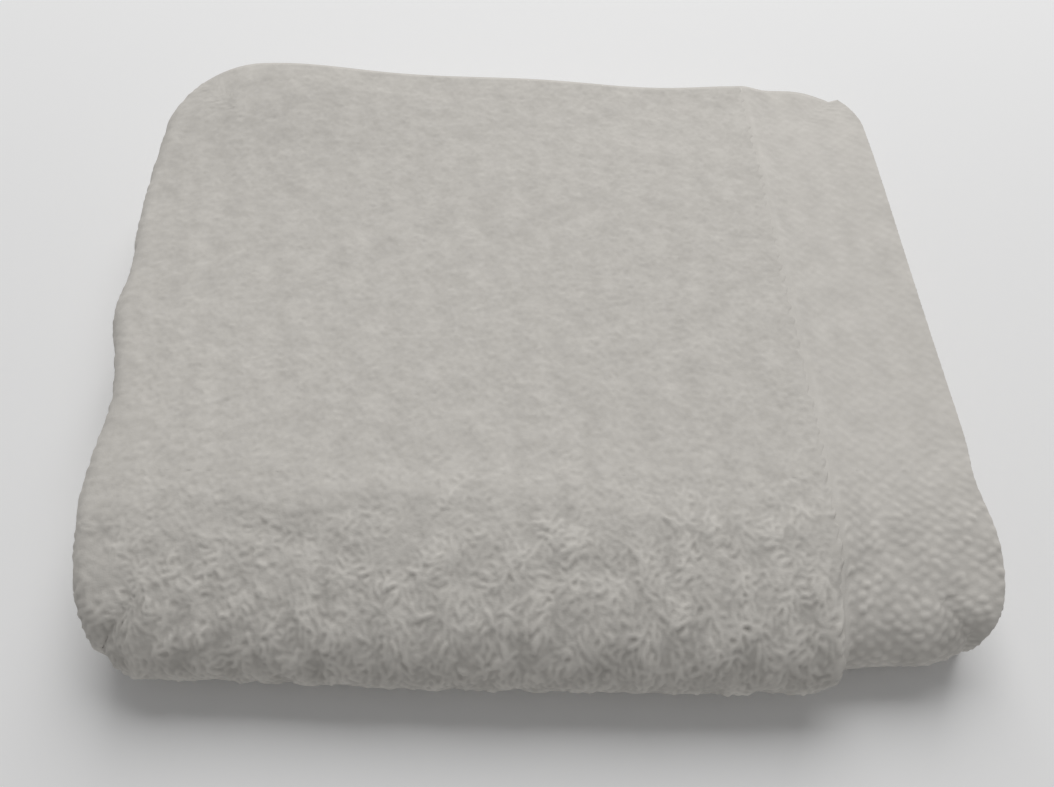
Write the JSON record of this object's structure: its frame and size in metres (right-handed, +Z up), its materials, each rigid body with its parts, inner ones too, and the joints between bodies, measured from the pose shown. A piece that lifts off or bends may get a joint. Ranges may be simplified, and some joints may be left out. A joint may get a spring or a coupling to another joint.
{
  "type": "bath sheet",
  "caption": "Large terry bath sheet lying neatly folded, with a round front fold and a flat woven band and hem at its right end.",
  "frame": {"origin": "middle of the underside, under the centre of the folded towel's box", "axes": "+Z up from what it rests on, +X along the cut length towards the end that shows the woven band and hem, -Y to the round front fold"},
  "size_m": [0.3928, 0.337, 0.0585],
  "materials": {
    "terry_cotton": "matt looped cotton pile, off-white, with a flat woven band at each hem"
  },
  "bodies": {
    "root": {"bath_sheet": "terry_cotton"}
  },
  "joints": []
}
